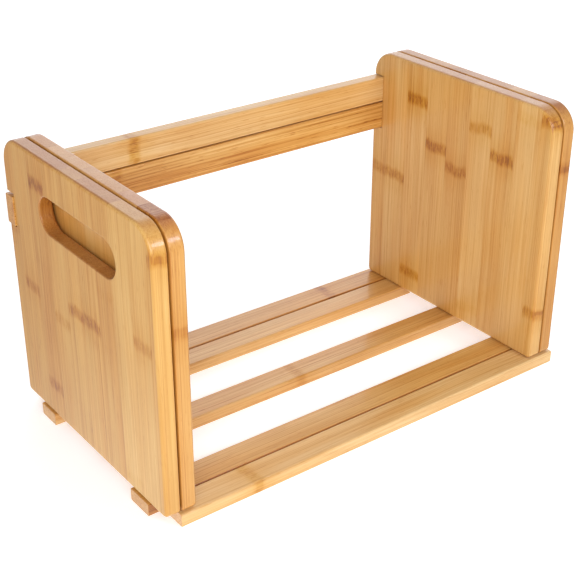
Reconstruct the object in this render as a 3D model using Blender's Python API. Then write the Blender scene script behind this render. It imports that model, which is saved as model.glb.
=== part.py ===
"""Expanding album stand in bamboo: two halves that slide along each other.

Units are metres, +Z is up and -Y is the front. The origin is on the floor under the middle of the stand.
The right half holds the outer right and the inner left panel, and the left half the other two, so
drawing the left half out along -X opens a bay at each end and shortens the middle one. The inner slats
lie between the outer ones, each half's slats run under the other's inner panel, and both back rails pass
through the inner panels' notches, which keeps the halves together all along the travel.
"""

import bmesh
import bpy
from math import cos, pi, sin
from mathutils import Matrix, Vector

# Overall sizes
BODY_WIDTH = 0.3633  # over the outer faces of the two outer panels, stand closed
PANEL_DEPTH = 0.200
PANEL_HEIGHT = 0.2070

# Panels
PANEL_THICKNESS = 0.0112
PANEL_GAP = 0.0016  # between the two panels of a pair, stand closed
PANEL_EDGE_RADIUS = 0.0025
PANEL_TOP_RADIUS = 0.020
PANEL_FOOT_RADIUS = 0.004
SLOT_LENGTH = 0.1032
SLOT_HEIGHT = 0.0274
SLOT_DROP = 0.0397  # from a panel's top edge to the middle of its hand slot
SLOT_FORWARD = 0.0035  # the hand slot's middle is this far in front of the panel's

# Slats, which the panels stand on
SLAT_THICKNESS = 0.010
SLAT_EDGE_RADIUS = 0.0012
SLAT_REVEAL = 0.0014  # the outer slats stand out this far past the panels' front and rear edges
SLAT_GAP = 0.0012  # between the two slats of a pair, which slide along each other
OUTER_FRONT_WIDTH = 0.0216
INNER_FRONT_WIDTH = 0.0235
MIDDLE_WIDTH = 0.0210
INNER_REAR_WIDTH = 0.0213
OUTER_REAR_WIDTH = 0.0234

# Back rails, let into the panels' rear edges
RAIL_THICKNESS = 0.0115
RAIL_EDGE_RADIUS = 0.0012
RAIL_DROP = 0.0215  # from the panels' top edges to the upper rail's
LOWER_RAIL_HEIGHT = 0.0225
UPPER_RAIL_HEIGHT = 0.0210
RAIL_GAP = 0.0010  # between the two rails, which slide along each other
NOTCH_ROOM = 0.0008  # above and below the rails in a panel's notch
NOTCH_SLACK = 0.0025  # in an outer panel's notch, on the side where its half has no rail

# Slats and rails run this far past the outer panel that they are fixed to, and slats past the inner one
OUTER_OVERHANG = 0.0010
SLAT_INNER_OVERHANG = 0.0020

# Fits
SEAT_GAP = 0.0003  # between faces that rest on each other

# Countersunk wood screws
SCREW_DIAMETER = 0.0035
SCREW_HEAD_DIAMETER = 0.0070
SCREW_HEAD_DEPTH = 0.0022
SCREW_HEAD_SUNK = 0.0004
SCREW_TIP_LENGTH = 0.0040
SLAT_SCREW_LENGTH = 0.030
RAIL_SCREW_LENGTH = 0.025

# How finely curves are stepped
ROUND_STEPS = 20
CORNER_STEPS = 8
FOOT_STEPS = 3
PANEL_EDGE_STEPS = 3
BAR_EDGE_STEPS = 2
SHARP_ANGLE = pi / 3  # an edge that turns more than this is rounded
CREASE_ANGLE = pi / 6

CUT_MARGIN = 0.005  # how far a cutter runs past the face that it opens

# Places along X of the panels' middles
OUTER_PANEL_X = (BODY_WIDTH - PANEL_THICKNESS) / 2
INNER_PANEL_X = OUTER_PANEL_X - PANEL_THICKNESS - PANEL_GAP
OUTER_END_X = BODY_WIDTH / 2 + OUTER_OVERHANG
SLAT_INNER_END_X = INNER_PANEL_X + PANEL_THICKNESS / 2 + SLAT_INNER_OVERHANG
RAIL_INNER_END_X = INNER_PANEL_X + PANEL_THICKNESS / 2 + PANEL_GAP - SEAT_GAP

# Places along Y of the slats' front edges, and of the rails
FRONT_Y = -PANEL_DEPTH / 2 - SLAT_REVEAL
INNER_FRONT_Y = FRONT_Y + OUTER_FRONT_WIDTH + SLAT_GAP
OUTER_REAR_Y = PANEL_DEPTH / 2 + SLAT_REVEAL - OUTER_REAR_WIDTH
INNER_REAR_Y = OUTER_REAR_Y - SLAT_GAP - INNER_REAR_WIDTH
RAIL_Y = PANEL_DEPTH / 2 - RAIL_THICKNESS

# Heights
PANEL_FLOOR = SLAT_THICKNESS + SEAT_GAP
PANEL_TOP = PANEL_FLOOR + PANEL_HEIGHT
SLOT_Z = PANEL_TOP - SLOT_DROP
UPPER_RAIL_TOP = PANEL_TOP - RAIL_DROP
UPPER_RAIL_FLOOR = UPPER_RAIL_TOP - UPPER_RAIL_HEIGHT
LOWER_RAIL_TOP = UPPER_RAIL_FLOOR - RAIL_GAP
LOWER_RAIL_FLOOR = LOWER_RAIL_TOP - LOWER_RAIL_HEIGHT
NOTCH_FLOOR = LOWER_RAIL_FLOOR - NOTCH_ROOM
NOTCH_TOP = UPPER_RAIL_TOP + NOTCH_ROOM

BAMBOO_PANEL = (0.60, 0.33, 0.13)
BAMBOO_SLAT = (0.66, 0.38, 0.16)
BAMBOO_RAIL = (0.68, 0.39, 0.15)
SCREW_STEEL = (0.70, 0.66, 0.55)
LACQUER_ROUGHNESS = 0.42
STEEL_ROUGHNESS = 0.35

for stale in list(bpy.data.objects):
    bpy.data.objects.remove(stale)


def material(name, colour, roughness, metallic=0.0):
    made = bpy.data.materials.new(name)
    made.use_nodes = True
    shader = made.node_tree.nodes["Principled BSDF"]
    shader.inputs["Base Color"].default_value = (*colour, 1.0)
    shader.inputs["Roughness"].default_value = roughness
    shader.inputs["Metallic"].default_value = metallic
    return made


def add_object(name, shape):
    mesh = bpy.data.meshes.new(name)
    bmesh.ops.recalc_face_normals(shape, faces=shape.faces)
    shape.to_mesh(mesh)
    shape.free()
    made = bpy.data.objects.new(name, mesh)
    bpy.context.collection.objects.link(made)
    return made


def box(name, low, high):
    """A plain box between two corners, with its origin at its middle."""
    low, high = Vector(low), Vector(high)
    shape = bmesh.new()
    bmesh.ops.create_cube(shape, size=1.0, matrix=Matrix.Diagonal((*(high - low), 1.0)))
    made = add_object(name, shape)
    made.location = (low + high) / 2
    return made


def plate(name, outline, thickness):
    """An outline in the YZ plane, extruded along X about its own middle."""
    shape = bmesh.new()
    face = shape.faces.new([shape.verts.new((-thickness / 2, y, z)) for y, z in outline])
    side = bmesh.ops.extrude_face_region(shape, geom=[face])["geom"]
    corners = [part for part in side if isinstance(part, bmesh.types.BMVert)]
    bmesh.ops.translate(shape, verts=corners, vec=(thickness, 0, 0))
    return add_object(name, shape)


def turned(name, profile):
    """A profile of radius and height, spun about Z and closed at both ends on the axis."""
    shape = bmesh.new()
    rings = []
    for radius, height in profile:
        angles = [2 * pi * step / ROUND_STEPS for step in range(ROUND_STEPS)]
        points = [(radius * cos(a), radius * sin(a), height) for a in angles]
        rings.append([shape.verts.new(point) for point in (points if radius else [(0, 0, height)])])
    for lower, upper in zip(rings, rings[1:]):
        for step in range(ROUND_STEPS):
            after = (step + 1) % ROUND_STEPS
            corners = [lower[step % len(lower)], lower[after % len(lower)]]
            corners += [upper[after % len(upper)], upper[step % len(upper)]]
            shape.faces.new(list(dict.fromkeys(corners)))
    made = add_object(name, shape)
    made.data.shade_smooth()
    made.data.set_sharp_from_angle(angle=CREASE_ANGLE)
    return made


def arc(centre, radius, start, turn, steps):
    angles = [start + turn * step / steps for step in range(steps + 1)]
    return [(centre[0] + radius * cos(a), centre[1] + radius * sin(a)) for a in angles]


def round_edges(piece, radius, segments):
    bevel = piece.modifiers.new("rounded_edges", "BEVEL")
    bevel.width = radius
    bevel.segments = segments
    bevel.limit_method = "ANGLE"
    bevel.angle_limit = SHARP_ANGLE


def cut(piece, cutter):
    cutter.hide_render = True
    cutter.display_type = "WIRE"
    take_away = piece.modifiers.new(cutter.name, "BOOLEAN")
    take_away.operation = "DIFFERENCE"
    take_away.object = cutter


def bore(name, place, direction, length):
    """A cutter for one screw: its clearance hole and the countersink that its head lies in."""
    hole = SCREW_DIAMETER / 2 + SEAT_GAP
    head = SCREW_HEAD_DIAMETER / 2 + SEAT_GAP
    top = -SCREW_HEAD_SUNK
    slope_end = SCREW_HEAD_DEPTH + SEAT_GAP
    depth = length + SEAT_GAP
    profile = [(0, top - CUT_MARGIN), (head, top - CUT_MARGIN), (head, 0), (hole, slope_end)]
    made = turned(name, profile + [(hole, depth), (0, depth)])
    made.location = place
    made.rotation_euler = direction
    return made


UPWARD = (0, 0, 0)
FORWARD = (pi / 2, 0, 0)


def screw(name, place, direction, length):
    shank = SCREW_DIAMETER / 2
    profile = [(0, 0), (SCREW_HEAD_DIAMETER / 2, 0), (shank, SCREW_HEAD_DEPTH)]
    made = turned(name, profile + [(shank, length - SCREW_TIP_LENGTH), (0, length)])
    made.location = place
    made.rotation_euler = direction
    made.data.materials.append(steel)


def fasten(bar_piece, panel_piece, name, place, direction, length):
    """One screw through a slat or rail into a panel, and the hole that it needs in both."""
    screw(name, place, direction, length)
    hole = bore(name + "_hole", place, direction, length)
    cut(bar_piece, hole)
    cut(panel_piece, hole)


def fix_slat(slat_piece, half, y):
    """Screws up through a slat into the bottom edge of each panel that stands on it."""
    for side, piece in half.items():
        name = slat_piece.name + "_" + side + "_screw"
        place = (piece.location.x, y, SCREW_HEAD_SUNK)
        fasten(slat_piece, piece, name, place, UPWARD, SLAT_SCREW_LENGTH)


def fix_rail(rail_piece, half, z):
    """Screws forward through a rail into the front face of each panel's notch."""
    for side, piece in half.items():
        name = rail_piece.name + "_" + side + "_screw"
        place = (piece.location.x, PANEL_DEPTH / 2 - SCREW_HEAD_SUNK, z)
        fasten(rail_piece, piece, name, place, FORWARD, RAIL_SCREW_LENGTH)


def panel(name, x):
    half, top = PANEL_DEPTH / 2, PANEL_HEIGHT
    foot, crown = PANEL_FOOT_RADIUS, PANEL_TOP_RADIUS
    outline = arc((half - foot, foot), foot, -pi / 2, pi / 2, FOOT_STEPS)
    outline += arc((half - crown, top - crown), crown, 0, pi / 2, CORNER_STEPS)
    outline += arc((crown - half, top - crown), crown, pi / 2, pi / 2, CORNER_STEPS)
    outline += arc((foot - half, foot), foot, pi, pi / 2, FOOT_STEPS)
    made = plate(name, outline, PANEL_THICKNESS)
    made.location = (x, 0, PANEL_FLOOR)
    made.data.materials.append(panel_wood)
    round_edges(made, PANEL_EDGE_RADIUS, PANEL_EDGE_STEPS)
    return made


def cut_slot(piece):
    """The hand slot: a long hole with round ends, through an outer panel."""
    radius = SLOT_HEIGHT / 2
    reach = SLOT_LENGTH / 2 - radius
    outline = arc((reach, 0), radius, -pi / 2, pi, CORNER_STEPS)
    outline += arc((-reach, 0), radius, pi / 2, pi, CORNER_STEPS)
    cutter = plate(piece.name + "_slot", outline, PANEL_THICKNESS + 2 * CUT_MARGIN)
    cutter.location = (piece.location.x, -SLOT_FORWARD, SLOT_Z)
    cut(piece, cutter)


def cut_notch(piece, low, high):
    """A notch in a panel's rear edge, as deep as the rails are thick."""
    x, reach = piece.location.x, PANEL_THICKNESS / 2 + CUT_MARGIN
    low_corner = (x - reach, RAIL_Y - SEAT_GAP, low)
    high_corner = (x + reach, PANEL_DEPTH / 2 + CUT_MARGIN, high)
    cut(piece, box(piece.name + "_notch", low_corner, high_corner))


def bar(name, low, high, radius, wood):
    """A slat or a rail, planed square with softened edges."""
    made = box(name, low, high)
    made.data.materials.append(wood)
    round_edges(made, radius, BAR_EDGE_STEPS)
    return made


def slat(name, y, width, ends):
    low = (ends[0], y, 0)
    return bar(name, low, (ends[1], y + width, SLAT_THICKNESS), SLAT_EDGE_RADIUS, slat_wood)


def rail(name, z, height, ends):
    low = (ends[0], RAIL_Y, z)
    high = (ends[1], RAIL_Y + RAIL_THICKNESS, z + height)
    return bar(name, low, high, RAIL_EDGE_RADIUS, rail_wood)


panel_wood = material("bamboo_panel", BAMBOO_PANEL, LACQUER_ROUGHNESS)
slat_wood = material("bamboo_slat", BAMBOO_SLAT, LACQUER_ROUGHNESS)
rail_wood = material("bamboo_rail", BAMBOO_RAIL, LACQUER_ROUGHNESS)
steel = material("screw_steel", SCREW_STEEL, STEEL_ROUGHNESS, metallic=1.0)

# Each half has an outer panel at its own end, and an inner panel at the other.
outer_left = panel("outer_left_panel", -OUTER_PANEL_X)
inner_left = panel("inner_left_panel", -INNER_PANEL_X)
inner_right = panel("inner_right_panel", INNER_PANEL_X)
outer_right = panel("outer_right_panel", OUTER_PANEL_X)
right_half = {"left": inner_left, "right": outer_right}
left_half = {"left": outer_left, "right": inner_right}
right_slat_ends = (-SLAT_INNER_END_X, OUTER_END_X)
left_slat_ends = (-OUTER_END_X, SLAT_INNER_END_X)
right_rail_ends = (-RAIL_INNER_END_X, OUTER_END_X)
left_rail_ends = (-OUTER_END_X, RAIL_INNER_END_X)

outer_front = slat("outer_front_slat", FRONT_Y, OUTER_FRONT_WIDTH, right_slat_ends)
inner_front = slat("inner_front_slat", INNER_FRONT_Y, INNER_FRONT_WIDTH, left_slat_ends)
middle = slat("middle_slat", -MIDDLE_WIDTH / 2, MIDDLE_WIDTH, right_slat_ends)
inner_rear = slat("inner_rear_slat", INNER_REAR_Y, INNER_REAR_WIDTH, left_slat_ends)
outer_rear = slat("outer_rear_slat", OUTER_REAR_Y, OUTER_REAR_WIDTH, right_slat_ends)
lower_rail = rail("lower_back_rail", LOWER_RAIL_FLOOR, LOWER_RAIL_HEIGHT, left_rail_ends)
upper_rail = rail("upper_back_rail", UPPER_RAIL_FLOOR, UPPER_RAIL_HEIGHT, right_rail_ends)

# An inner panel's notch takes both rails, and an outer panel's only its own half's rail.
for piece in (inner_left, inner_right):
    cut_notch(piece, NOTCH_FLOOR, NOTCH_TOP)
cut_notch(outer_left, NOTCH_FLOOR, LOWER_RAIL_TOP + NOTCH_SLACK)
cut_notch(outer_right, UPPER_RAIL_FLOOR - NOTCH_SLACK, NOTCH_TOP)
for piece in (outer_left, outer_right):
    cut_slot(piece)

fix_slat(outer_front, right_half, FRONT_Y + OUTER_FRONT_WIDTH / 2)
fix_slat(middle, right_half, 0)
fix_slat(outer_rear, right_half, OUTER_REAR_Y + OUTER_REAR_WIDTH / 2)
fix_slat(inner_front, left_half, INNER_FRONT_Y + INNER_FRONT_WIDTH / 2)
fix_slat(inner_rear, left_half, INNER_REAR_Y + INNER_REAR_WIDTH / 2)
fix_rail(upper_rail, right_half, UPPER_RAIL_FLOOR + UPPER_RAIL_HEIGHT / 2)
fix_rail(lower_rail, left_half, LOWER_RAIL_FLOOR + LOWER_RAIL_HEIGHT / 2)
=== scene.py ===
from math import pi, radians

import bpy
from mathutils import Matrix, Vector


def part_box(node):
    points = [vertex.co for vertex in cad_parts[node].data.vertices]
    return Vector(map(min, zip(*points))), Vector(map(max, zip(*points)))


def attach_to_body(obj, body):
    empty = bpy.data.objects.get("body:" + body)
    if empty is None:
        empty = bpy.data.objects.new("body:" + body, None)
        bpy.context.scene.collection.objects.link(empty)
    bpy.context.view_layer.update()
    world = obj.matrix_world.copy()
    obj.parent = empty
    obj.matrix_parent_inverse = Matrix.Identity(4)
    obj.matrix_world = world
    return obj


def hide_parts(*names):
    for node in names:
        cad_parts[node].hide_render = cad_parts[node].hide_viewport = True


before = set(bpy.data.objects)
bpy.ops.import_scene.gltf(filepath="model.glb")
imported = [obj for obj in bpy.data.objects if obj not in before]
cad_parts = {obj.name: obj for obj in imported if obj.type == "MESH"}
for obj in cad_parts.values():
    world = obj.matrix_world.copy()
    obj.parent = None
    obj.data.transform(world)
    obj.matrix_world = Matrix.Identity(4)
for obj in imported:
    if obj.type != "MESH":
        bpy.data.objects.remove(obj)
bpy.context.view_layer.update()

bpy.ops.object.select_all(action="DESELECT")

# ---------------------------------------------------------------------------------------------
# The four panels.
# Each is a board of bamboo strips glued edge to edge, planed, rounded over along its outline and
# lacquered. The strips run upright, and each carries the joints of its own cane, one above another.
# ---------------------------------------------------------------------------------------------

PANEL_CROWN_RADIUS = 0.020
PANEL_FOOT_RADIUS = 0.004
PANEL_EDGE_RADIUS = 0.0025
PANEL_GAP_EDGE_RADIUS = 0.0010
PANEL_CROWN_STEPS = 18
PANEL_FOOT_STEPS = 6
PANEL_EDGE_STEPS = 6
SLOT_LENGTH = 0.1032
SLOT_HEIGHT = 0.0274
SLOT_DROP = 0.0397
SLOT_FORWARD = 0.0035
SLOT_RIM_RADIUS = 0.0010
SLOT_GAP_RIM_RADIUS = 0.0028
SLOT_END_STEPS = 24
SLOT_RIM_STEPS = 5
NOTCH_ROOM = 0.0008
NOTCH_SLACK = 0.0025
SEAT_GAP = 0.0003
CUT_MARGIN = 0.004
NEAR = 0.00005
NEARLY_ALL = 0.9999
SMOOTH_ANGLE = radians(32)

PANEL_INTERNODE = 158.0
METRES_TO_MM = 1000.0

BAMBOO_TONES = (
    (0.00, (0.830, 0.580, 0.265)),
    (0.30, (0.680, 0.390, 0.125)),
    (0.50, (0.580, 0.285, 0.066)),
    (0.70, (0.460, 0.182, 0.030)),
    (0.85, (0.350, 0.116, 0.014)),
    (1.00, (0.190, 0.058, 0.006)),
)
CROWN_TINT = (0.78, 0.66, 1.00)
WARM_TINT = (1.00, 0.90, 0.70)
JOINT_TINT = (1.00, 0.95, 0.34)

# The grain's features, each as wide, as deep and as long as this in mm
WAVE_SIZE = (60.0, 40.0, 90.0)
DRIFT_SIZE = (26.0, 20.0, 90.0)
BAND_SIZE = (4.5, 4.0, 260.0)
FIBRE_SIZE = (1.25, 1.0, 190.0)
HAIR_SIZE = (0.50, 0.45, 46.0)
VEIN_SIZE = (2.6, 2.4, 420.0)
FLECK_SIZE = (0.75, 0.7, 11.0)
WARMTH_SIZE = (14.0, 14.0, 150.0)
BOW_SIZE = (9.0, 9.0, 1000.0)
PATCH_SIZE = (3.5, 3.5, 7.0)

# How far each feature moves the tone: 0 is the palest bamboo and 1 the darkest
DRIFT_DEPTH = 0.24
BAND_DEPTH = 0.20
FIBRE_DEPTH = 0.30
HAIR_DEPTH = 0.20
DARK_FIBRE_DEPTH = 0.10
VEIN_DEPTH = 0.10
FLECK_DEPTH = 0.12
CLOUD_DEPTH = 0.25
COMB_DEPTH = 0.19
HALO_DEPTH = 0.17
GLUE_LINE_DEPTH = 0.07

# Lengths in mm
CANE_SHIFT_ALONG = 900.0
CANE_SHIFT_ACROSS = 300.0
WAVE_SWING = 2.5
JOINT_BOW = 7.0
JOINT_CORE = 2.0
CLOUD_REACH = 7.0
HALO_REACH = 24.0
DASH_PITCH = 0.85
WIDE_DASH_PITCH = DASH_PITCH * 1.7
DASH_SCATTER = 4.5
DASH_SHORTEST = 0.4
DASH_VARIES = 2.6
GLUE_LINE_REACH = 0.40

LACQUER_ROUGHNESS = 0.33
FIBRE_ROUGHNESS = 0.14
COMB_ROUGHNESS = 0.06
LACQUER_COAT = 0.30
LACQUER_COAT_ROUGHNESS = 0.10
GRAIN_BUMP = 0.30
GRAIN_BUMP_HEIGHT = 0.00010


def wire(tree, value, socket):
    if isinstance(value, bpy.types.NodeSocket):
        tree.links.new(value, socket)
    else:
        socket.default_value = value


def reckon(tree, operation, *values):
    """One Math node on numbers or sockets."""
    node = tree.nodes.new("ShaderNodeMath")
    node.operation = operation
    for value, socket in zip(values, node.inputs):
        wire(tree, value, socket)
    return node.outputs[0]


def spread(tree, value, from_low, from_high, to_low, to_high):
    """A value eased from one range into another, and held at the ends."""
    node = tree.nodes.new("ShaderNodeMapRange")
    node.interpolation_type = "SMOOTHSTEP"
    for number, socket in zip((value, from_low, from_high, to_low, to_high), node.inputs):
        wire(tree, number, socket)
    return node.outputs["Result"]


def swing(tree, value):
    """How far a value between 0 and 1 is from the middle."""
    return reckon(tree, "SUBTRACT", value, 0.5)


def fibre_noise(tree, across, depth, along, sizes, detail):
    """Noise stretched along the grain: sizes are its width, its depth and its length in mm."""
    place = tree.nodes.new("ShaderNodeCombineXYZ")
    for number, size, socket in zip((across, depth, along), sizes, place.inputs):
        wire(tree, reckon(tree, "DIVIDE", number, size), socket)
    noise = tree.nodes.new("ShaderNodeTexNoise")
    noise.inputs["Scale"].default_value = 1.0
    noise.inputs["Detail"].default_value = detail
    noise.inputs["Roughness"].default_value = 0.55
    tree.links.new(place.outputs[0], noise.inputs["Vector"])
    return noise.outputs["Fac"]


def draw_lots(tree, number):
    """Three even random numbers for each whole number."""
    lot = tree.nodes.new("ShaderNodeTexWhiteNoise")
    lot.noise_dimensions = "1D"
    wire(tree, number, lot.inputs["W"])
    lots = tree.nodes.new("ShaderNodeSeparateColor")
    tree.links.new(lot.outputs["Color"], lots.inputs[0])
    return lots.outputs


def tone_ramp(tree, value, tones):
    ramp = tree.nodes.new("ShaderNodeValToRGB")
    stops = ramp.color_ramp.elements
    while len(stops) < len(tones):
        stops.new(1.0)
    for stop, (place, colour) in zip(stops, tones):
        stop.position = place
        stop.color = colour if len(colour) == 4 else (*colour, 1.0)
    wire(tree, value, ramp.inputs[0])
    return ramp


def multiplied(tree, colour, tint, amount):
    mix = tree.nodes.new("ShaderNodeMix")
    mix.data_type = "RGBA"
    mix.blend_type = "MULTIPLY"
    wire(tree, amount, mix.inputs["Factor"])
    wire(tree, colour, mix.inputs[6])
    mix.inputs[7].default_value = (*tint, 1.0)
    return mix.outputs[2]


def bamboo(name, axes, strip, offset, internode, strips, seed, tone, tint, figure, end_tint):
    """Lacquered bamboo.

    axes names the grain's, the strips' and the thickness's axes. strips gives, for each strip, the
    place in mm and the strength of one cane joint, how much darker the strip is than the board, and
    how strongly the cane's other joints show. internode is the way from one joint to the next, and
    figure is how strongly the grain shows.
    """
    made = bpy.data.materials.new(name)
    made.use_nodes = True
    tree = made.node_tree
    shader = tree.nodes["Principled BSDF"]
    coords = tree.nodes.new("ShaderNodeTexCoord")
    scaled = tree.nodes.new("ShaderNodeVectorMath")
    scaled.operation = "SCALE"
    scaled.inputs["Scale"].default_value = METRES_TO_MM
    tree.links.new(coords.outputs["Object"], scaled.inputs[0])
    split = tree.nodes.new("ShaderNodeSeparateXYZ")
    tree.links.new(scaled.outputs[0], split.inputs[0])
    along, across, depth = (split.outputs["XYZ".index(axis)] for axis in axes)

    # Which strip this is, how far across it, and what that strip is like
    turn = reckon(tree, "DIVIDE", reckon(tree, "ADD", across, offset), strip)
    index = reckon(tree, "FLOOR", turn)
    within = reckon(tree, "SUBTRACT", turn, index)
    lots = draw_lots(tree, reckon(tree, "ADD", index, seed))
    count = len(strips)
    reach = max(abs(place) for place, _, _, _ in strips) * 2 + 1
    stops = [
        (number / count, (place / reach + 0.5, strength, darker + 0.5, again))
        for number, (place, strength, darker, again) in enumerate(strips)
    ]
    if count == 1:
        stops *= 2
    which = reckon(tree, "DIVIDE", reckon(tree, "ADD", index, 0.5), float(count))
    traits_ramp = tone_ramp(tree, which, stops)
    traits_ramp.color_ramp.interpolation = "CONSTANT"
    traits = tree.nodes.new("ShaderNodeSeparateColor")
    tree.links.new(traits_ramp.outputs[0], traits.inputs[0])
    height = reckon(tree, "MULTIPLY", swing(tree, traits.outputs[0]), reach)
    again = traits_ramp.outputs["Alpha"]

    # Drifts, bands, fibres, hairlines, veins and flecks of the grain, which waves a little
    cane_along = reckon(tree, "MULTIPLY_ADD", lots[0], CANE_SHIFT_ALONG, along)
    cane_across = reckon(tree, "MULTIPLY_ADD", lots[1], CANE_SHIFT_ACROSS, across)
    wave = fibre_noise(tree, cane_across, depth, cane_along, WAVE_SIZE, 1.0)
    cane_across = reckon(tree, "MULTIPLY_ADD", wave, WAVE_SWING, cane_across)
    drift = fibre_noise(tree, cane_across, depth, cane_along, DRIFT_SIZE, 1.0)
    bands = fibre_noise(tree, cane_across, depth, cane_along, BAND_SIZE, 2.0)
    fibres = fibre_noise(tree, cane_across, depth, cane_along, FIBRE_SIZE, 2.0)
    hairs = fibre_noise(tree, cane_across, depth, cane_along, HAIR_SIZE, 2.0)
    shade = reckon(tree, "ADD", traits.outputs[2], tone - 0.5)
    features = ((drift, DRIFT_DEPTH), (bands, BAND_DEPTH), (fibres, FIBRE_DEPTH), (hairs, HAIR_DEPTH))
    for feature, contrast in features:
        shade = reckon(tree, "MULTIPLY_ADD", swing(tree, feature), contrast * figure, shade)
    shade = reckon(tree, "ADD", shade, spread(tree, fibres, 0.62, 0.74, 0.0, DARK_FIBRE_DEPTH))
    veins = fibre_noise(tree, cane_across, depth, cane_along, VEIN_SIZE, 1.0)
    veins = reckon(tree, "ABSOLUTE", swing(tree, veins))
    shade = reckon(tree, "ADD", shade, spread(tree, veins, 0.045, 0.0, 0.0, VEIN_DEPTH * figure))
    flecks = fibre_noise(tree, cane_across, depth, cane_along, FLECK_SIZE, 1.0)
    shade = reckon(tree, "ADD", shade, spread(tree, flecks, 0.64, 0.74, 0.0, FLECK_DEPTH * figure))

    # How far away the cane's nearest joint is, and how strongly that joint shows
    uneven = fibre_noise(tree, cane_across, depth, height, BOW_SIZE, 1.0)
    bow = reckon(tree, "MULTIPLY", swing(tree, uneven), JOINT_BOW)
    away = reckon(tree, "SUBTRACT", reckon(tree, "SUBTRACT", along, height), bow)
    turns = reckon(tree, "ROUND", reckon(tree, "DIVIDE", away, internode))
    away = reckon(tree, "SUBTRACT", away, reckon(tree, "MULTIPLY", turns, internode))
    distance = reckon(tree, "ABSOLUTE", away)
    other = reckon(tree, "MINIMUM", reckon(tree, "ABSOLUTE", turns), 1.0)
    lost = reckon(tree, "MULTIPLY", other, reckon(tree, "SUBTRACT", 1.0, again))
    strength = reckon(tree, "MULTIPLY", traits.outputs[1], reckon(tree, "SUBTRACT", 1.0, lost))

    # The joint's mark: a patchy cloud in a soft halo, and a comb of short dashes of uneven length
    patchy = fibre_noise(tree, cane_across, depth, along, PATCH_SIZE, 1.0)
    cloud = spread(tree, distance, CLOUD_REACH, JOINT_CORE, 0.0, 1.0)
    cloud = reckon(tree, "MULTIPLY", cloud, spread(tree, patchy, 0.25, 0.65, 0.45, 1.0))
    comb = 0.0
    for pitch, shift in ((DASH_PITCH, 0.0), (WIDE_DASH_PITCH, 40.0)):
        cell_turn = reckon(tree, "DIVIDE", reckon(tree, "MULTIPLY_ADD", bands, 2.0, across), pitch)
        cell = reckon(tree, "FLOOR", cell_turn)
        dash = draw_lots(tree, reckon(tree, "ADD", cell, shift + seed * 7.0))
        aside = reckon(tree, "ABSOLUTE", swing(tree, reckon(tree, "SUBTRACT", cell_turn, cell)))
        slim = spread(tree, aside, 0.50, 0.10, 0.0, 1.0)
        off = reckon(tree, "MULTIPLY_ADD", swing(tree, dash[0]), DASH_SCATTER, away)
        half = reckon(tree, "MULTIPLY_ADD", dash[1], DASH_VARIES, DASH_SHORTEST)
        past_end = reckon(tree, "SUBTRACT", reckon(tree, "ABSOLUTE", off), half)
        long = spread(tree, past_end, 0.9, -0.7, 0.0, 1.0)
        inked = spread(tree, dash[2], 0.25, 0.75, 0.0, 1.0)
        stroke = reckon(tree, "MULTIPLY", reckon(tree, "MULTIPLY", slim, long), inked)
        comb = reckon(tree, "MAXIMUM", comb, stroke)
    mark = reckon(tree, "MULTIPLY_ADD", cloud, CLOUD_DEPTH, reckon(tree, "MULTIPLY", comb, COMB_DEPTH))
    halo = spread(tree, distance, HALO_REACH, JOINT_CORE, 0.0, HALO_DEPTH)
    mark = reckon(tree, "ADD", mark, reckon(tree, "MULTIPLY", halo, drift))
    mark = reckon(tree, "MULTIPLY", mark, strength)
    shade = reckon(tree, "ADD", mark, shade)

    # Glue line between two strips
    border = reckon(tree, "ABSOLUTE", swing(tree, within))
    border = reckon(tree, "MULTIPLY", reckon(tree, "SUBTRACT", 0.5, border), strip)
    shade = reckon(tree, "ADD", shade, spread(tree, border, GLUE_LINE_REACH, 0.0, 0.0, GLUE_LINE_DEPTH))

    # The tone as a colour, browner at the joints and warmer here and there
    wood = tone_ramp(tree, shade, BAMBOO_TONES).outputs[0]
    browned = reckon(tree, "MINIMUM", reckon(tree, "MULTIPLY", mark, 3.0), 1.0)
    wood = multiplied(tree, wood, JOINT_TINT, browned)
    warmth = fibre_noise(tree, cane_across, depth, cane_along, WARMTH_SIZE, 1.0)
    wood = multiplied(tree, wood, WARM_TINT, spread(tree, warmth, 0.35, 0.70, 0.0, 0.7))

    # The ends of the fibres drink the lacquer, and are duller
    facing = tree.nodes.new("ShaderNodeSeparateXYZ")
    tree.links.new(coords.outputs["Normal"], facing.inputs[0])
    end_on = reckon(tree, "ABSOLUTE", facing.outputs["XYZ".index(axes[0])])
    end_on = spread(tree, end_on, 0.60, 0.98, 0.0, 1.0)
    thirst = reckon(tree, "MULTIPLY_ADD", lots[2], 0.7, 0.5)
    soaked = reckon(tree, "MINIMUM", reckon(tree, "MULTIPLY", end_on, thirst), 1.0)
    wood = multiplied(tree, wood, end_tint, soaked)
    wire(tree, multiplied(tree, wood, tint, 1.0), shader.inputs["Base Color"])

    gloss = reckon(tree, "MULTIPLY_ADD", fibres, FIBRE_ROUGHNESS, LACQUER_ROUGHNESS)
    wire(tree, reckon(tree, "MULTIPLY_ADD", comb, COMB_ROUGHNESS, gloss), shader.inputs["Roughness"])
    shader.inputs["Specular IOR Level"].default_value = 0.5
    shader.inputs["Coat Weight"].default_value = LACQUER_COAT
    shader.inputs["Coat Roughness"].default_value = LACQUER_COAT_ROUGHNESS
    bump = tree.nodes.new("ShaderNodeBump")
    bump.inputs["Strength"].default_value = GRAIN_BUMP
    bump.inputs["Distance"].default_value = GRAIN_BUMP_HEIGHT
    wire(tree, reckon(tree, "MULTIPLY_ADD", hairs, 0.5, fibres), bump.inputs["Height"])
    wire(tree, bump.outputs[0], shader.inputs["Normal"])
    return made


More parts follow.
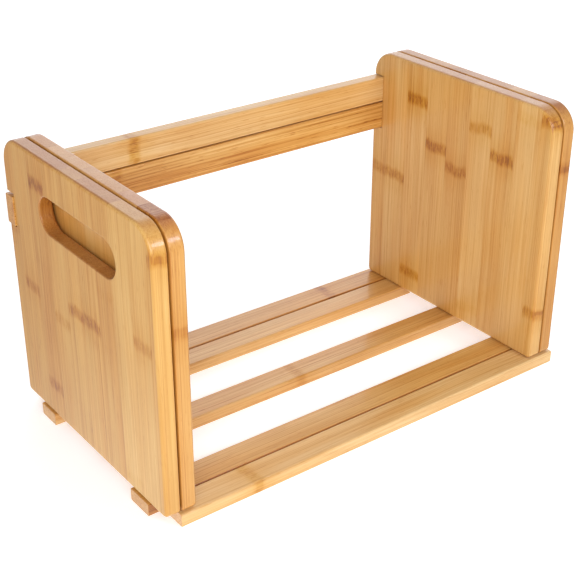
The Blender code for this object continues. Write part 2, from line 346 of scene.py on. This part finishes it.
def planed(name, low, high):
    """A squared blank between two corners."""
    middle = [(a + b) / 2 for a, b in zip(low, high)]
    bpy.ops.mesh.primitive_cube_add(size=1.0, location=middle)
    made = bpy.context.active_object
    made.name = made.data.name = name
    made.scale = [b - a for a, b in zip(low, high)]
    bpy.ops.object.transform_apply(location=True, rotation=True, scale=True)
    return made


def pick_edges(piece, wanted):
    """Edit mode with just the edges selected whose two ends satisfy the rule."""
    bpy.ops.object.select_all(action="DESELECT")
    piece.select_set(True)
    bpy.context.view_layer.objects.active = piece
    bpy.ops.object.mode_set(mode="EDIT")
    bpy.ops.mesh.select_mode(type="EDGE")
    bpy.ops.mesh.select_all(action="DESELECT")
    bpy.ops.object.mode_set(mode="OBJECT")
    corners = piece.data.vertices
    for edge in piece.data.edges:
        edge.select = wanted(*(corners[corner].co for corner in edge.vertices))
    bpy.ops.object.mode_set(mode="EDIT")


def round_over(piece, radius, steps, wanted):
    pick_edges(piece, wanted)
    bpy.ops.mesh.bevel(offset=radius, segments=steps, profile=0.5, affect="EDGES")
    bpy.ops.object.mode_set(mode="OBJECT")


def cut_away(piece, cutter):
    """Takes the cutter's shape out of the piece, and throws the cutter away."""
    bpy.ops.object.select_all(action="DESELECT")
    piece.select_set(True)
    bpy.context.view_layer.objects.active = piece
    saw = piece.modifiers.new("saw", "BOOLEAN")
    saw.operation = "DIFFERENCE"
    saw.object = cutter
    bpy.ops.object.modifier_apply(modifier=saw.name)
    bpy.data.objects.remove(cutter)


def finish_shading(piece):
    bpy.ops.object.select_all(action="DESELECT")
    piece.select_set(True)
    bpy.context.view_layer.objects.active = piece
    bpy.ops.object.shade_smooth_by_angle(angle=SMOOTH_ANGLE)
    even = piece.modifiers.new("even_normals", "WEIGHTED_NORMAL")
    even.keep_sharp = True
    bpy.ops.object.modifier_apply(modifier=even.name)


def panel_board(node, twin, notch_low, notch_high, slotted):
    """A panel as it leaves the router: corners, hand slot, rounded outline and rail notch.

    Its edges are rounded over less on the side that faces its twin across the narrow gap.
    """
    low, high = (Vector(corner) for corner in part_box(node))
    board = planed(node + "_board", low, high)
    top, foot = high.z - NEAR, low.z + NEAR

    def upright_corner(a, b):
        return abs(a.x - b.x) > NEAR and min(a.z, b.z) > top

    def foot_corner(a, b):
        return abs(a.x - b.x) > NEAR and max(a.z, b.z) < foot

    round_over(board, PANEL_CROWN_RADIUS, PANEL_CROWN_STEPS, upright_corner)
    round_over(board, PANEL_FOOT_RADIUS, PANEL_FOOT_STEPS, foot_corner)

    half_length, half_height = SLOT_LENGTH / 2, SLOT_HEIGHT / 2
    slot_y, slot_z = -SLOT_FORWARD, high.z - SLOT_DROP
    if slotted:
        cutter = planed(
            "slot_cutter",
            (low.x - CUT_MARGIN, slot_y - half_length, slot_z - half_height),
            (high.x + CUT_MARGIN, slot_y + half_length, slot_z + half_height),
        )
        round_over(cutter, half_height * NEARLY_ALL, SLOT_END_STEPS, lambda a, b: abs(a.x - b.x) > NEAR)
        cut_away(board, cutter)

    def in_slot(point):
        return abs(point.y - slot_y) < half_length + NEAR and abs(point.z - slot_z) < half_height + NEAR

    def on_face(a, b):
        return abs(a.x - b.x) < NEAR and (a.x < low.x + NEAR or a.x > high.x - NEAR)

    def outline(a, b):
        return on_face(a, b) and not in_slot(a) and not in_slot(b)

    def by_the_gap(point):
        return (point.x - (low.x + high.x) / 2) * (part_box(twin)[0][0] - low.x) > 0

    def slot_rim(a, b):
        return on_face(a, b) and in_slot(a) and in_slot(b)

    round_over(board, PANEL_EDGE_RADIUS, PANEL_EDGE_STEPS, lambda a, b: outline(a, b) and not by_the_gap(a))
    round_over(board, PANEL_GAP_EDGE_RADIUS, PANEL_EDGE_STEPS, lambda a, b: outline(a, b) and by_the_gap(a))
    if slotted:
        round_over(board, SLOT_RIM_RADIUS, SLOT_RIM_STEPS, lambda a, b: slot_rim(a, b) and not by_the_gap(a))
        round_over(board, SLOT_GAP_RIM_RADIUS, SLOT_RIM_STEPS, lambda a, b: slot_rim(a, b) and by_the_gap(a))

    rail_low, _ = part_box("upper_back_rail")
    cutter = planed(
        "notch_cutter",
        (low.x - CUT_MARGIN, rail_low[1] - SEAT_GAP, notch_low),
        (high.x + CUT_MARGIN, high.y + CUT_MARGIN, notch_high),
    )
    cut_away(board, cutter)
    finish_shading(board)
    return board


def attach(piece, body, node):
    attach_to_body(piece, body)
    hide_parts(node)


lower_low, lower_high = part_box("lower_back_rail")
upper_low, upper_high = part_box("upper_back_rail")
NOTCH_FLOOR = lower_low[2] - NOTCH_ROOM
NOTCH_TOP = upper_high[2] + NOTCH_ROOM

# A panel's notch runs from one height to another. Its strips are numbered from the front, after the
# offset, and each has a joint's height above the floor in mm, that joint's strength, how much darker
# the strip is than its board, and how strongly its other joints show
PANELS = {
    "outer_left_panel": {
        "twin": "inner_left_panel", "body": "left_half", "slotted": True,
        "notch": (NOTCH_FLOOR, lower_high[2] + NOTCH_SLACK),
        "strip": 22.2, "offset": 116.7, "seed": 11.0, "tone": 0.41, "figure": 1.15,
        "tint": (0.98, 0.96, 0.80), "end_tint": (0.74, 0.57, 0.62),
        "strips": (
            (197, 0.7, -0.05, 0.0), (133, 0.6, -0.11, 0.0), (20, 0.1, -0.11, 0.0), (150, 0.1, 0.03, 0.0),
            (119, 0.9, -0.01, 0.0), (118, 0.9, -0.02, 0.0), (101, 0.4, 0.01, 0.0), (196, 0.9, 0.07, 0.8),
            (110, 0.6, 0.03, 0.0), (150, 0.3, 0.06, 0.0),
        ),
    },
    "inner_left_panel": {
        "twin": "outer_left_panel", "body": "right_half", "slotted": False,
        "notch": (NOTCH_FLOOR, NOTCH_TOP),
        "strip": 24.0, "offset": 112.0, "seed": 37.0, "tone": 0.47, "figure": 1.10,
        "tint": (1.00, 0.93, 0.78), "end_tint": CROWN_TINT,
        # Its third to seventh strips, seen through the twin's hand slot, are made lighter: painted light
        # against the shade inside the slot
        "strips": (
            (144, 0.4, -0.03, 0.0), (60, 0.8, 0.00, 0.8), (150, 0.8, -0.17, 1.0), (35, 0.6, -0.13, 0.9),
            (100, 1.0, -0.16, 1.0), (185, 0.9, -0.15, 0.7), (80, 0.8, -0.16, 1.0), (140, 0.9, 0.02, 1.0),
            (50, 0.7, 0.00, 0.8),
        ),
    },
    "inner_right_panel": {
        "twin": "outer_right_panel", "body": "left_half", "slotted": False,
        "notch": (NOTCH_FLOOR, NOTCH_TOP),
        "strip": 24.2, "offset": 112.3, "seed": 23.0, "tone": 0.32, "figure": 1.15,
        "tint": (1.00, 0.99, 0.95), "end_tint": CROWN_TINT,
        "strips": (
            (207, 1.0, 0.01, 0.8), (205, 0.2, -0.06, 0.0), (166, 1.0, -0.01, 0.0), (184, 0.7, -0.06, 0.2),
            (141, 0.8, 0.06, 0.0), (153, 1.0, 0.01, 0.0), (187, 1.0, 0.02, 0.8), (114, 0.9, 0.00, 0.0),
            (114, 0.8, 0.05, 0.0),
        ),
    },
    "outer_right_panel": {
        "twin": "inner_right_panel", "body": "right_half", "slotted": True,
        "notch": (upper_low[2] - NOTCH_SLACK, NOTCH_TOP),
        "strip": 23.0, "offset": 110.0, "seed": 52.0, "tone": 0.46, "figure": 1.10,
        "tint": (1.00, 0.98, 0.93), "end_tint": CROWN_TINT,
        "strips": (
            (170, 0.8, 0.09, 0.0), (40, 0.9, 0.04, 0.8), (110, 0.7, -0.03, 1.0), (75, 0.9, 0.02, 0.9),
            (130, 1.0, -0.02, 1.0), (55, 0.6, 0.05, 0.9), (160, 0.8, -0.03, 0.0), (90, 1.0, 0.03, 1.0),
            (30, 0.7, 0.00, 0.8), (120, 0.7, 0.02, 0.0),
        ),
    },
}
# The hand slot's wall gets a darker, cooler copy of its panel's finish: painted shade for the inside of the
# slot
PAINTED_SLOT_SHADE = 0.20
PAINTED_SLOT_SHADE_END_TINT = (0.90, 0.89, 1.00)
PAINTED_SLOT_SHADE_TINT = (0.95, 0.97, 1.10)


def in_hand_slot(board, face):
    """True for the faces of the slot's wall, which lie well inside the panel's outline."""
    middle = face.center
    box = board.bound_box
    inside = box[0][0] + NEAR < middle.x < box[6][0] - NEAR
    deep = abs(middle.y + SLOT_FORWARD) < SLOT_LENGTH / 2 + SLOT_GAP_RIM_RADIUS
    high = abs(middle.z - box[6][2] + SLOT_DROP) < SLOT_HEIGHT / 2 + SLOT_GAP_RIM_RADIUS
    return inside and deep and high


for node, plan in PANELS.items():
    board = panel_board(node, plan["twin"], *plan["notch"], plan["slotted"])
    finishes = [("_bamboo", 0.0, plan["tint"], plan["end_tint"])]
    # The second finish, on the hand slot's wall, is the darker copy: painted shade
    if plan["slotted"]:
        finishes.append(("_routed_bamboo", PAINTED_SLOT_SHADE, PAINTED_SLOT_SHADE_TINT, PAINTED_SLOT_SHADE_END_TINT))
    board.data.materials.clear()
    for ending, darker, tint, end_tint in finishes:
        board.data.materials.append(bamboo(
            node + ending, "ZYX", plan["strip"], plan["offset"], PANEL_INTERNODE,
            plan["strips"], plan["seed"], plan["tone"] + darker, tint, plan["figure"], end_tint,
        ))
    if plan["slotted"]:
        for face in board.data.polygons:
            face.material_index = 1 if in_hand_slot(board, face) else 0
    attach(board, plan["body"], node)

# ---------------------------------------------------------------------------------------------
# The five floor slats and the two back rails.
# Each is one planed bamboo lath with softened arrises and sawn ends, drilled and countersunk for
# the two screws that hold it to its half's panels.
# ---------------------------------------------------------------------------------------------

BAR_EDGE_RADIUS = 0.0012
BAR_EDGE_STEPS = 4
BAR_END_RADIUS = 0.0005
BAR_END_STEPS = 2
LATH_STRIP = 60.0
LATH_INTERNODE = 420.0
LATH_END_TINT = (0.90, 0.84, 0.95)
SCREW_HEAD_RADIUS = 0.0035
SCREW_HOLE_RADIUS = 0.00205
SCREW_HEAD_DEPTH = 0.0022
HOLE_STEPS = 32
DRILL_LENGTH = 0.04


def countersink(bar, screw_node, along_axis):
    """Drills the hole for one screw, whose head is in the lower face or the rear one."""
    low, high = (Vector(corner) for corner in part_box(screw_node))
    middle = (low + high) / 2
    bar_low, bar_high = (Vector(corner) for corner in (bar.bound_box[0], bar.bound_box[6]))
    if along_axis == "Z":
        turn = (0.0, 0.0, 0.0)
        mouth = Vector((middle.x, middle.y, bar_low.z))
        inward = Vector((0, 0, 1))
    else:
        turn = (pi / 2, 0.0, 0.0)
        mouth = Vector((middle.x, bar_high.y, middle.z))
        inward = Vector((0, -1, 0))
    reach = SCREW_HEAD_DEPTH + SEAT_GAP * 2
    bpy.ops.mesh.primitive_cone_add(
        vertices=HOLE_STEPS, radius1=SCREW_HEAD_RADIUS + SEAT_GAP * 2, radius2=SCREW_HOLE_RADIUS,
        depth=reach, location=mouth + inward * (reach / 2 - NEAR), rotation=turn,
    )
    cut_away(bar, bpy.context.active_object)
    bpy.ops.mesh.primitive_cylinder_add(
        vertices=HOLE_STEPS, radius=SCREW_HOLE_RADIUS, depth=DRILL_LENGTH, location=mouth, rotation=turn,
    )
    cut_away(bar, bpy.context.active_object)


def lath(node, screw_axis):
    low, high = (Vector(corner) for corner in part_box(node))
    bar = planed(node + "_lath", low, high)
    round_over(bar, BAR_EDGE_RADIUS, BAR_EDGE_STEPS, lambda a, b: abs(a.x - b.x) > NEAR)

    def at_an_end(a, b):
        return max(a.x, b.x) < low.x + NEAR or min(a.x, b.x) > high.x - NEAR

    round_over(bar, BAR_END_RADIUS, BAR_END_STEPS, at_an_end)
    for side in ("left", "right"):
        countersink(bar, f"{node}_{side}_screw", screw_axis)
    finish_shading(bar)
    return bar


# A lath's joint has a place, in mm to the right of the stand's middle, and a strength. The side that
# faces a neighbour across a narrow gap is painted this much darker, as painted shade for the gap
LATHS = {
    "outer_front_slat": {
        "body": "right_half", "joint": (-109.0, 0.55), "seed": 61.0, "tone": 0.23, "figure": 1.4,
        "tint": (1.03, 1.04, 1.12), "pooled": None,
    },
    "inner_front_slat": {
        "body": "left_half", "joint": (-152.0, 0.90), "seed": 67.0, "tone": 0.36, "figure": 1.6,
        "tint": (1.02, 0.99, 0.92), "pooled": (Vector((0, -1, 0)), 0.38),
    },
    "middle_slat": {
        "body": "right_half", "joint": (-3.0, 0.50), "seed": 71.0, "tone": 0.39, "figure": 1.5,
        "tint": (1.00, 0.98, 0.98), "pooled": None,
    },
    "inner_rear_slat": {
        "body": "left_half", "joint": (330.0, 0.50), "seed": 79.0, "tone": 0.34, "figure": 1.5,
        "tint": (1.01, 1.01, 1.06), "pooled": None,
    },
    "outer_rear_slat": {
        "body": "right_half", "joint": (99.0, 0.80), "seed": 83.0, "tone": 0.42, "figure": 1.5,
        "tint": (1.00, 0.95, 0.88), "pooled": (Vector((0, -1, 0)), 0.28),
    },
    "lower_back_rail": {
        "body": "left_half", "joint": (-101.0, 0.50), "seed": 89.0, "tone": 0.43, "figure": 2.3,
        "tint": (1.02, 0.97, 0.84), "pooled": (Vector((0, 0, 1)), 0.10),
    },
    "upper_back_rail": {
        "body": "right_half", "joint": (-84.0, 0.80), "seed": 97.0, "tone": 0.27, "figure": 1.5,
        "tint": (1.02, 1.05, 1.18), "pooled": None,
    },
}

for node, plan in LATHS.items():
    is_rail = node.endswith("rail")
    bar = lath(node, "Y" if is_rail else "Z")
    lath_low, lath_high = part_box(node)
    width_axis = 2 if is_rail else 1
    offset = LATH_STRIP / 2 - METRES_TO_MM * (lath_low[width_axis] + lath_high[width_axis]) / 2
    joint_place, joint_strength = plan["joint"]
    finishes = [("_bamboo", 0.0)]
    # The side that faces a neighbour across a narrow gap gets a darker copy of the finish: painted shade
    if plan["pooled"]:
        painted_gap_shade_side, darker = plan["pooled"]
        finishes.append(("_pooled_bamboo", darker))
    bar.data.materials.clear()
    for ending, darker in finishes:
        bar.data.materials.append(bamboo(
            node + ending, "XZY" if is_rail else "XYZ", LATH_STRIP, offset, LATH_INTERNODE,
            ((joint_place, joint_strength, 0.0, 0.0),), plan["seed"], plan["tone"] + darker,
            plan["tint"], plan["figure"], LATH_END_TINT,
        ))
    if plan["pooled"]:
        for face in bar.data.polygons:
            face.material_index = 1 if face.normal.dot(painted_gap_shade_side) > 0.6 else 0
    attach(bar, plan["body"], node)

# ---------------------------------------------------------------------------------------------
# The fourteen wood screws.
# Zinc-plated steel with a countersunk head and a cross recess, driven up through the slats
# and forward through the rails into the panels. Modelled once, and copied into each hole.
# ---------------------------------------------------------------------------------------------

SCREW_RIM = 0.0003
SCREW_SHANK_RADIUS = 0.00175
SCREW_TIP_LENGTH = 0.0040
SCREW_STEPS = 40
RECESS_LENGTH = 0.0042
RECESS_WIDTH = 0.0009
RECESS_DEPTH = 0.0014
RECESS_TAPER = 0.55
TIP_CONE_SHARE = 0.8
TIP_CONE_TAPER = 0.35
TIP_POINT_TAPER = 0.05
PLATING_GRAIN = 900.0
PLATING_TONES = (
    (0.30, (0.56, 0.54, 0.50)),
    (0.50, (0.72, 0.70, 0.66)),
    (0.70, (0.66, 0.63, 0.58)),
)
PLATING_ROUGHNESS = 0.18
PLATING_UNEVENNESS = 0.25


def plating():
    made = bpy.data.materials.new("zinc_plating")
    made.use_nodes = True
    tree = made.node_tree
    shader = tree.nodes["Principled BSDF"]
    coords = tree.nodes.new("ShaderNodeTexCoord")
    noise = tree.nodes.new("ShaderNodeTexNoise")
    noise.inputs["Scale"].default_value = PLATING_GRAIN
    noise.inputs["Detail"].default_value = 4.0
    tree.links.new(coords.outputs["Object"], noise.inputs["Vector"])
    colour = tone_ramp(tree, noise.outputs["Fac"], PLATING_TONES)
    wire(tree, colour.outputs[0], shader.inputs["Base Color"])
    dull = reckon(tree, "MULTIPLY_ADD", noise.outputs["Fac"], PLATING_UNEVENNESS, PLATING_ROUGHNESS)
    wire(tree, dull, shader.inputs["Roughness"])
    shader.inputs["Metallic"].default_value = 1.0
    return made


def grow(step, scale):
    """Extrudes the selected end face upwards, and draws it in or out."""
    bpy.ops.mesh.extrude_region_move(TRANSFORM_OT_translate={"value": (0, 0, step)})
    bpy.ops.transform.resize(value=(scale, scale, 1.0))


def screw_model(length):
    """A screw with its head at the origin and its point up."""
    bpy.ops.mesh.primitive_circle_add(vertices=SCREW_STEPS, radius=SCREW_HEAD_RADIUS, fill_type="NGON")
    made = bpy.context.active_object
    bpy.ops.object.mode_set(mode="EDIT")
    bpy.ops.mesh.select_all(action="SELECT")
    neck = SCREW_SHANK_RADIUS / SCREW_HEAD_RADIUS
    grow(SCREW_RIM, 1.0)
    grow(SCREW_HEAD_DEPTH - SCREW_RIM, neck)
    grow(length - SCREW_HEAD_DEPTH - SCREW_TIP_LENGTH, 1.0)
    grow(SCREW_TIP_LENGTH * TIP_CONE_SHARE, TIP_CONE_TAPER)
    grow(SCREW_TIP_LENGTH * (1 - TIP_CONE_SHARE), TIP_POINT_TAPER)
    bpy.ops.mesh.select_all(action="SELECT")
    bpy.ops.mesh.normals_make_consistent(inside=False)
    bpy.ops.object.mode_set(mode="OBJECT")
    half_length, half_width = RECESS_LENGTH / 2, RECESS_WIDTH / 2
    for x, y in ((half_length, half_width), (half_width, half_length)):
        cutter = planed("recess_cutter", (-x, -y, -RECESS_DEPTH), (x, y, RECESS_DEPTH))
        pick_edges(cutter, lambda a, b: min(a.z, b.z) > 0)
        bpy.ops.transform.resize(value=(RECESS_TAPER, RECESS_TAPER, 1.0))
        bpy.ops.object.mode_set(mode="OBJECT")
        cut_away(made, cutter)
    return made


zinc = plating()
models = {}
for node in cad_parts:
    if not node.endswith("_screw"):
        continue
    low, high = (Vector(corner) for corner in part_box(node))
    is_rail = "rail" in node
    length = high.y - low.y if is_rail else high.z - low.z
    middle = (low + high) / 2
    if is_rail not in models:
        models[is_rail] = screw_model(length)
    screw = models[is_rail].copy()
    screw.data = models[is_rail].data.copy()
    screw.name = screw.data.name = node + "_plated"
    bpy.context.collection.objects.link(screw)
    screw.location = (middle.x, high.y, middle.z) if is_rail else (middle.x, middle.y, low.z)
    screw.rotation_euler = (pi / 2, 0.0, 0.0) if is_rail else (0.0, 0.0, 0.0)
    bpy.ops.object.select_all(action="DESELECT")
    screw.select_set(True)
    bpy.context.view_layer.objects.active = screw
    bpy.ops.object.transform_apply(location=True, rotation=True, scale=True)
    bpy.ops.object.shade_smooth_by_angle(angle=SMOOTH_ANGLE)
    screw.data.materials.clear()
    screw.data.materials.append(zinc)
    driven_through = node.rsplit("_", 2)[0]
    attach(screw, LATHS[driven_through]["body"], node)
for model in models.values():
    bpy.data.objects.remove(model)

# ---------------------------------------------------------------------------------------------
# The stage: a white sweep under soft light, and the camera.
# Gloss sees the brightly lit table close below, and a dimmer room towards the horizon.
# ---------------------------------------------------------------------------------------------

FLOOR_SIZE = 12.0
FLOOR_WHITE = (0.93, 0.93, 0.93, 1.0)
FLOOR_ROUGHNESS = 0.9
FLOOR_GLOW = 0.40
WHITE = (1.0, 1.0, 1.0, 1.0)
SKY_STRENGTH = 0.50
TABLE_STRENGTH = 1.9
TABLE_EDGE = -0.485
TABLE_NEAR = -0.600
TABLE_WARMTH = (1.0, 0.90, 0.74)
PLAIN_LIGHT = (1.0, 1.0, 1.0)
COOL_LIGHT = (0.90, 1.0, 1.24)
CAMERA_PLACE = Vector((-0.4904, -0.6464, 0.5071))
CAMERA_DIRECTION = Vector((0.52968, 0.71012, -0.46387))
CAMERA_LENS = 75.09

bpy.ops.mesh.primitive_plane_add(size=FLOOR_SIZE, location=(0, 0, -NEAR))
floor = bpy.context.active_object
floor.name = "floor"
paper = bpy.data.materials.new("floor_paper")
paper.use_nodes = True
paper_shader = paper.node_tree.nodes["Principled BSDF"]
paper_shader.inputs["Base Color"].default_value = FLOOR_WHITE
paper_shader.inputs["Roughness"].default_value = FLOOR_ROUGHNESS
paper_shader.inputs["Specular IOR Level"].default_value = 0.1
paper_shader.inputs["Emission Color"].default_value = WHITE
paper_shader.inputs["Emission Strength"].default_value = FLOOR_GLOW
floor.data.materials.append(paper)
floor.visible_glossy = False

world = bpy.data.worlds.new("studio")
bpy.context.scene.world = world
world.use_nodes = True
room = world.node_tree
sky = room.nodes["Background"]
aim = room.nodes.new("ShaderNodeTexCoord")
aim_split = room.nodes.new("ShaderNodeSeparateXYZ")
room.links.new(aim.outputs["Generated"], aim_split.inputs[0])
glow = spread(room, aim_split.outputs["Z"], TABLE_EDGE, TABLE_NEAR, SKY_STRENGTH, TABLE_STRENGTH)
wire(room, glow, sky.inputs["Strength"])
low_down = spread(room, aim_split.outputs["Z"], TABLE_EDGE, TABLE_NEAR, 0.0, 1.0)
wire(room, multiplied(room, WHITE, TABLE_WARMTH, low_down), sky.inputs["Color"])


def softbox(name, place, target, size, power, colour):
    """A square light with a side in metres and a power in watts, turned towards its target."""
    light = bpy.data.lights.new(name, "AREA")
    light.shape = "SQUARE"
    light.size = size
    light.energy = power
    light.color = colour
    lamp = bpy.data.objects.new(name, light)
    lamp.location = place
    lamp.rotation_euler = (Vector(target) - Vector(place)).to_track_quat("-Z", "Y").to_euler()
    bpy.context.collection.objects.link(lamp)


softbox("left_softbox", (-0.78, -0.87, 0.60), (0, 0, 0.1), 0.6, 6.3, PLAIN_LIGHT)
softbox("front_softbox", (-0.45, -1.75, 0.85), (-0.1, 0, 0.1), 0.8, 5.7, COOL_LIGHT)
softbox("glint_softbox", (0.36, -0.95, 0.66), (-0.17, -0.1, 0.2), 0.22, 2.6, COOL_LIGHT)
softbox("rear_softbox", (0.95, 1.25, 0.85), (0, 0, 0.1), 1.6, 11.5, PLAIN_LIGHT)

camera_data = bpy.data.cameras.new("camera")
camera_data.lens = CAMERA_LENS
camera_data.sensor_width = 36.0
camera = bpy.data.objects.new("camera", camera_data)
camera.location = CAMERA_PLACE
camera.rotation_euler = CAMERA_DIRECTION.to_track_quat("-Z", "Y").to_euler()
bpy.context.collection.objects.link(camera)
bpy.context.scene.camera = camera
bpy.context.scene.view_settings.view_transform = "Standard"
